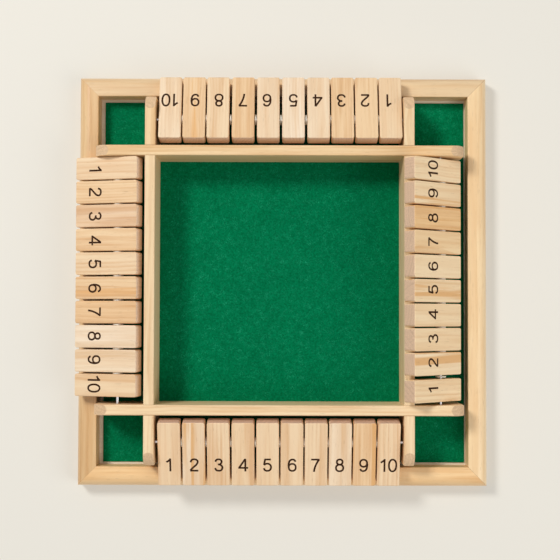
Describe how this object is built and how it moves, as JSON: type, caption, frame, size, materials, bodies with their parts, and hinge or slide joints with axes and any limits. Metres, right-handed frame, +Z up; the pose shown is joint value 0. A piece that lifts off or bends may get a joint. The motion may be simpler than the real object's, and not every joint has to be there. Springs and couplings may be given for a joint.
{
  "type": "shut the box board",
  "caption": "Square wooden board for a dice game: felt floor, a dice arena in the middle, corner pockets, and a row of hinged number tiles on a steel rod at each side.",
  "frame": {"origin": "middle of the board's underside, on the surface that it rests on", "axes": "+X east and +Y north in the board's plan, so the raised row is at +X; +Z up out of the dice arena"},
  "size_m": [0.3, 0.3, 0.0544],
  "materials": {
    "frame_pine": "satin clear lacquer on pale pine",
    "wall_pine": "satin clear lacquer on pale pine",
    "tile_pine": "smooth sanded pale pine",
    "base_plywood": "plain sanded plywood",
    "green_felt": "short matt felt",
    "steel_rod": "bright drawn wire",
    "nylon_washer": "milky natural nylon"
  },
  "bodies": {
    "board": {"tray_base": "base_plywood", "felt_lining": "green_felt", "frame_south": "frame_pine", "frame_east": "frame_pine", "frame_north": "frame_pine", "frame_west": "frame_pine", "rail_north": "wall_pine", "rail_south": "wall_pine", "divider_east": "wall_pine", "divider_west": "wall_pine", "cheek_northeast": "wall_pine", "cheek_northwest": "wall_pine", "cheek_southeast": "wall_pine", "cheek_southwest": "wall_pine", "rod_south": "steel_rod", "rod_east": "steel_rod", "rod_north": "steel_rod", "rod_west": "steel_rod", "spacer_washers": "nylon_washer"},
    "tile_south_1": {"tile_south_1": "tile_pine"},
    "tile_south_2": {"tile_south_2": "tile_pine"},
    "tile_south_3": {"tile_south_3": "tile_pine"},
    "tile_south_4": {"tile_south_4": "tile_pine"},
    "tile_south_5": {"tile_south_5": "tile_pine"},
    "tile_south_6": {"tile_south_6": "tile_pine"},
    "tile_south_7": {"tile_south_7": "tile_pine"},
    "tile_south_8": {"tile_south_8": "tile_pine"},
    "tile_south_9": {"tile_south_9": "tile_pine"},
    "tile_south_10": {"tile_south_10": "tile_pine"},
    "tile_east_1": {"tile_east_1": "tile_pine"},
    "tile_east_2": {"tile_east_2": "tile_pine"},
    "tile_east_3": {"tile_east_3": "tile_pine"},
    "tile_east_4": {"tile_east_4": "tile_pine"},
    "tile_east_5": {"tile_east_5": "tile_pine"},
    "tile_east_6": {"tile_east_6": "tile_pine"},
    "tile_east_7": {"tile_east_7": "tile_pine"},
    "tile_east_8": {"tile_east_8": "tile_pine"},
    "tile_east_9": {"tile_east_9": "tile_pine"},
    "tile_east_10": {"tile_east_10": "tile_pine"},
    "tile_north_1": {"tile_north_1": "tile_pine"},
    "tile_north_2": {"tile_north_2": "tile_pine"},
    "tile_north_3": {"tile_north_3": "tile_pine"},
    "tile_north_4": {"tile_north_4": "tile_pine"},
    "tile_north_5": {"tile_north_5": "tile_pine"},
    "tile_north_6": {"tile_north_6": "tile_pine"},
    "tile_north_7": {"tile_north_7": "tile_pine"},
    "tile_north_8": {"tile_north_8": "tile_pine"},
    "tile_north_9": {"tile_north_9": "tile_pine"},
    "tile_north_10": {"tile_north_10": "tile_pine"},
    "tile_west_1": {"tile_west_1": "tile_pine"},
    "tile_west_2": {"tile_west_2": "tile_pine"},
    "tile_west_3": {"tile_west_3": "tile_pine"},
    "tile_west_4": {"tile_west_4": "tile_pine"},
    "tile_west_5": {"tile_west_5": "tile_pine"},
    "tile_west_6": {"tile_west_6": "tile_pine"},
    "tile_west_7": {"tile_west_7": "tile_pine"},
    "tile_west_8": {"tile_west_8": "tile_pine"},
    "tile_west_9": {"tile_west_9": "tile_pine"},
    "tile_west_10": {"tile_west_10": "tile_pine"}
  },
  "joints": [
    {"name": "tile_south_1_hinge", "type": "hinge", "parent": "board", "child": "tile_south_1", "pos_m": [-0.08093, -0.116, 0.031], "axis": [-1, 0, 0], "range_deg": [0, 155.9]},
    {"name": "tile_south_2_hinge", "type": "hinge", "parent": "board", "child": "tile_south_2", "pos_m": [-0.0633, -0.116, 0.031], "axis": [-1, 0, 0], "range_deg": [0, 155.9]},
    {"name": "tile_south_3_hinge", "type": "hinge", "parent": "board", "child": "tile_south_3", "pos_m": [-0.04567, -0.116, 0.031], "axis": [-1, 0, 0], "range_deg": [0, 155.9]},
    {"name": "tile_south_4_hinge", "type": "hinge", "parent": "board", "child": "tile_south_4", "pos_m": [-0.02805, -0.116, 0.031], "axis": [-1, 0, 0], "range_deg": [0, 155.9]},
    {"name": "tile_south_5_hinge", "type": "hinge", "parent": "board", "child": "tile_south_5", "pos_m": [-0.01042, -0.116, 0.031], "axis": [-1, 0, 0], "range_deg": [0, 155.9]},
    {"name": "tile_south_6_hinge", "type": "hinge", "parent": "board", "child": "tile_south_6", "pos_m": [0.00688, -0.116, 0.031], "axis": [-1, 0, 0], "range_deg": [0, 155.9]},
    {"name": "tile_south_7_hinge", "type": "hinge", "parent": "board", "child": "tile_south_7", "pos_m": [0.02419, -0.116, 0.031], "axis": [-1, 0, 0], "range_deg": [0, 155.9]},
    {"name": "tile_south_8_hinge", "type": "hinge", "parent": "board", "child": "tile_south_8", "pos_m": [0.04149, -0.116, 0.031], "axis": [-1, 0, 0], "range_deg": [0, 155.9]},
    {"name": "tile_south_9_hinge", "type": "hinge", "parent": "board", "child": "tile_south_9", "pos_m": [0.05879, -0.116, 0.031], "axis": [-1, 0, 0], "range_deg": [0, 155.9]},
    {"name": "tile_south_10_hinge", "type": "hinge", "parent": "board", "child": "tile_south_10", "pos_m": [0.07609, -0.116, 0.031], "axis": [-1, 0, 0], "range_deg": [0, 155.9]},
    {"name": "tile_east_1_hinge", "type": "hinge", "parent": "board", "child": "tile_east_1", "pos_m": [0.1136, -0.07845, 0.031], "axis": [0, -1, 0], "range_deg": [-154.8, 0]},
    {"name": "tile_east_2_hinge", "type": "hinge", "parent": "board", "child": "tile_east_2", "pos_m": [0.1136, -0.05943, 0.031], "axis": [0, -1, 0], "range_deg": [-154.8, 0]},
    {"name": "tile_east_3_hinge", "type": "hinge", "parent": "board", "child": "tile_east_3", "pos_m": [0.1136, -0.04211, 0.031], "axis": [0, -1, 0], "range_deg": [-154.8, 0]},
    {"name": "tile_east_4_hinge", "type": "hinge", "parent": "board", "child": "tile_east_4", "pos_m": [0.1136, -0.02479, 0.031], "axis": [0, -1, 0], "range_deg": [-154.8, 0]},
    {"name": "tile_east_5_hinge", "type": "hinge", "parent": "board", "child": "tile_east_5", "pos_m": [0.1136, -0.00747, 0.031], "axis": [0, -1, 0], "range_deg": [-154.8, 0]},
    {"name": "tile_east_6_hinge", "type": "hinge", "parent": "board", "child": "tile_east_6", "pos_m": [0.1136, 0.00984, 0.031], "axis": [0, -1, 0], "range_deg": [-154.8, 0]},
    {"name": "tile_east_7_hinge", "type": "hinge", "parent": "board", "child": "tile_east_7", "pos_m": [0.1136, 0.02716, 0.031], "axis": [0, -1, 0], "range_deg": [-154.8, 0]},
    {"name": "tile_east_8_hinge", "type": "hinge", "parent": "board", "child": "tile_east_8", "pos_m": [0.1136, 0.04448, 0.031], "axis": [0, -1, 0], "range_deg": [-154.8, 0]},
    {"name": "tile_east_9_hinge", "type": "hinge", "parent": "board", "child": "tile_east_9", "pos_m": [0.1136, 0.0618, 0.031], "axis": [0, -1, 0], "range_deg": [-154.8, 0]},
    {"name": "tile_east_10_hinge", "type": "hinge", "parent": "board", "child": "tile_east_10", "pos_m": [0.1136, 0.07912, 0.031], "axis": [0, -1, 0], "range_deg": [-154.8, 0]},
    {"name": "tile_north_1_hinge", "type": "hinge", "parent": "board", "child": "tile_north_1", "pos_m": [0.07747, 0.116, 0.031], "axis": [1, 0, 0], "range_deg": [0, 155.9]},
    {"name": "tile_north_2_hinge", "type": "hinge", "parent": "board", "child": "tile_north_2", "pos_m": [0.06017, 0.116, 0.031], "axis": [1, 0, 0], "range_deg": [0, 155.9]},
    {"name": "tile_north_3_hinge", "type": "hinge", "parent": "board", "child": "tile_north_3", "pos_m": [0.04287, 0.116, 0.031], "axis": [1, 0, 0], "range_deg": [0, 155.9]},
    {"name": "tile_north_4_hinge", "type": "hinge", "parent": "board", "child": "tile_north_4", "pos_m": [0.02557, 0.116, 0.031], "axis": [1, 0, 0], "range_deg": [0, 155.9]},
    {"name": "tile_north_5_hinge", "type": "hinge", "parent": "board", "child": "tile_north_5", "pos_m": [0.00747, 0.116, 0.031], "axis": [1, 0, 0], "range_deg": [0, 155.9]},
    {"name": "tile_north_6_hinge", "type": "hinge", "parent": "board", "child": "tile_north_6", "pos_m": [-0.01064, 0.116, 0.031], "axis": [1, 0, 0], "range_deg": [0, 155.9]},
    {"name": "tile_north_7_hinge", "type": "hinge", "parent": "board", "child": "tile_north_7", "pos_m": [-0.02874, 0.116, 0.031], "axis": [1, 0, 0], "range_deg": [0, 155.9]},
    {"name": "tile_north_8_hinge", "type": "hinge", "parent": "board", "child": "tile_north_8", "pos_m": [-0.04684, 0.116, 0.031], "axis": [1, 0, 0], "range_deg": [0, 155.9]},
    {"name": "tile_north_9_hinge", "type": "hinge", "parent": "board", "child": "tile_north_9", "pos_m": [-0.06414, 0.116, 0.031], "axis": [1, 0, 0], "range_deg": [0, 155.9]},
    {"name": "tile_north_10_hinge", "type": "hinge", "parent": "board", "child": "tile_north_10", "pos_m": [-0.08144, 0.116, 0.031], "axis": [1, 0, 0], "range_deg": [0, 155.9]},
    {"name": "tile_west_1_hinge", "type": "hinge", "parent": "board", "child": "tile_west_1", "pos_m": [-0.1184, 0.0805, 0.031], "axis": [0, 1, 0], "range_deg": [0, 157.1]},
    {"name": "tile_west_2_hinge", "type": "hinge", "parent": "board", "child": "tile_west_2", "pos_m": [-0.1184, 0.0633, 0.031], "axis": [0, 1, 0], "range_deg": [0, 157.1]},
    {"name": "tile_west_3_hinge", "type": "hinge", "parent": "board", "child": "tile_west_3", "pos_m": [-0.1184, 0.0461, 0.031], "axis": [0, 1, 0], "range_deg": [0, 157.1]},
    {"name": "tile_west_4_hinge", "type": "hinge", "parent": "board", "child": "tile_west_4", "pos_m": [-0.1184, 0.0289, 0.031], "axis": [0, 1, 0], "range_deg": [0, 157.1]},
    {"name": "tile_west_5_hinge", "type": "hinge", "parent": "board", "child": "tile_west_5", "pos_m": [-0.1184, 0.0117, 0.031], "axis": [0, 1, 0], "range_deg": [0, 157.1]},
    {"name": "tile_west_6_hinge", "type": "hinge", "parent": "board", "child": "tile_west_6", "pos_m": [-0.1184, -0.00577, 0.031], "axis": [0, 1, 0], "range_deg": [0, 157.1]},
    {"name": "tile_west_7_hinge", "type": "hinge", "parent": "board", "child": "tile_west_7", "pos_m": [-0.1184, -0.02324, 0.031], "axis": [0, 1, 0], "range_deg": [0, 157.1]},
    {"name": "tile_west_8_hinge", "type": "hinge", "parent": "board", "child": "tile_west_8", "pos_m": [-0.1184, -0.04071, 0.031], "axis": [0, 1, 0], "range_deg": [0, 157.1]},
    {"name": "tile_west_9_hinge", "type": "hinge", "parent": "board", "child": "tile_west_9", "pos_m": [-0.1184, -0.05818, 0.031], "axis": [0, 1, 0], "range_deg": [0, 157.1]},
    {"name": "tile_west_10_hinge", "type": "hinge", "parent": "board", "child": "tile_west_10", "pos_m": [-0.1184, -0.07565, 0.031], "axis": [0, 1, 0], "range_deg": [0, 157.1]}
  ]
}
